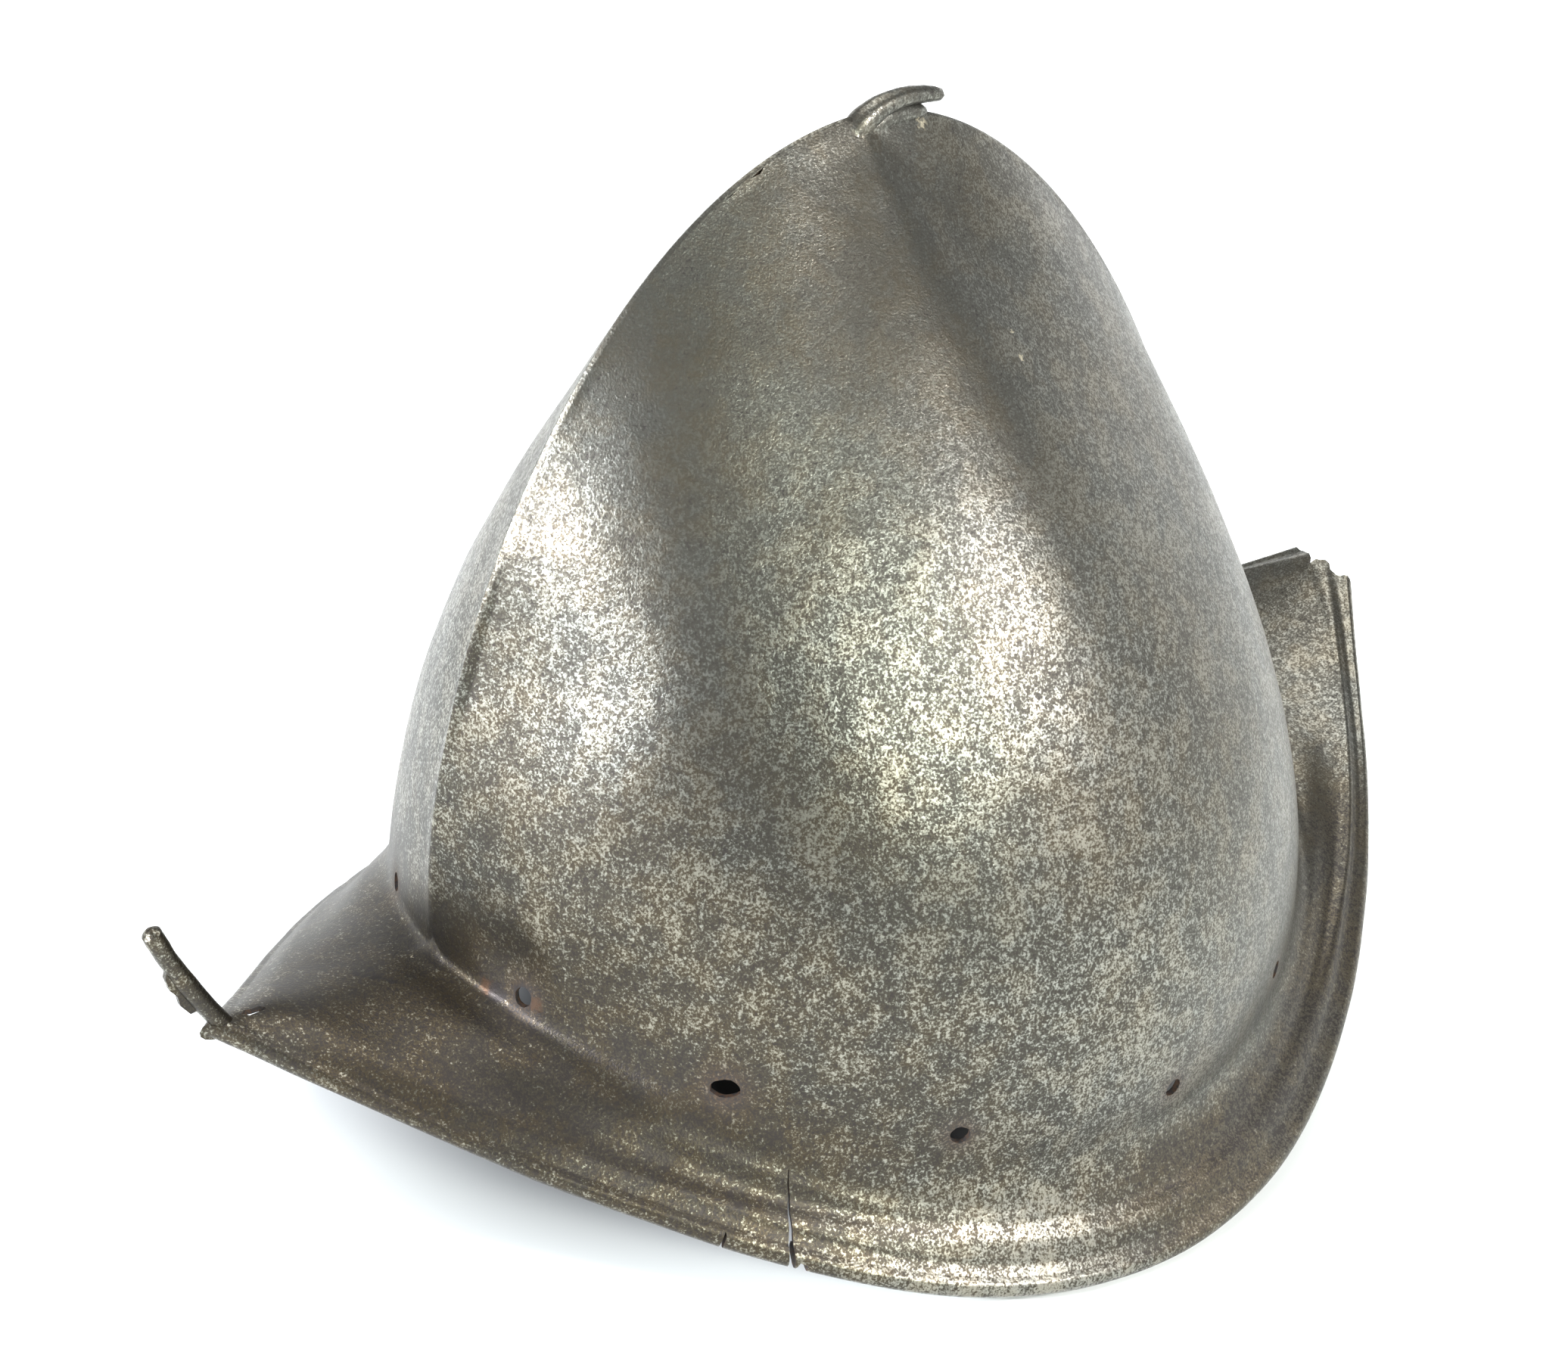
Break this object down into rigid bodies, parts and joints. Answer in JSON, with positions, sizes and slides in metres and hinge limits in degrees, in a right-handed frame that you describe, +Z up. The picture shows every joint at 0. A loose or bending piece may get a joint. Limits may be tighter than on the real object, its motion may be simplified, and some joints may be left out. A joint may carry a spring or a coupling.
{
  "type": "cabasset",
  "caption": "One-piece forged steel pointed helmet with a keeled almond skull, a stalk at the apex and a peaked brim with a rolled edge, worn and pierced for lining rivets.",
  "frame": {"origin": "middle of the helmet's length and width, at the level of the rolled edge that it stands on", "axes": "+Z up as it stands, -Y towards the front point, +X towards the wearer's left"},
  "size_m": [0.2484, 0.3596, 0.2432],
  "materials": {
    "patinated_steel": "brown-grey patina, semi-gloss, finely speckled and pitted, with darker corroded pits"
  },
  "bodies": {
    "root": {"helmet_shell": "patinated_steel"}
  },
  "joints": []
}
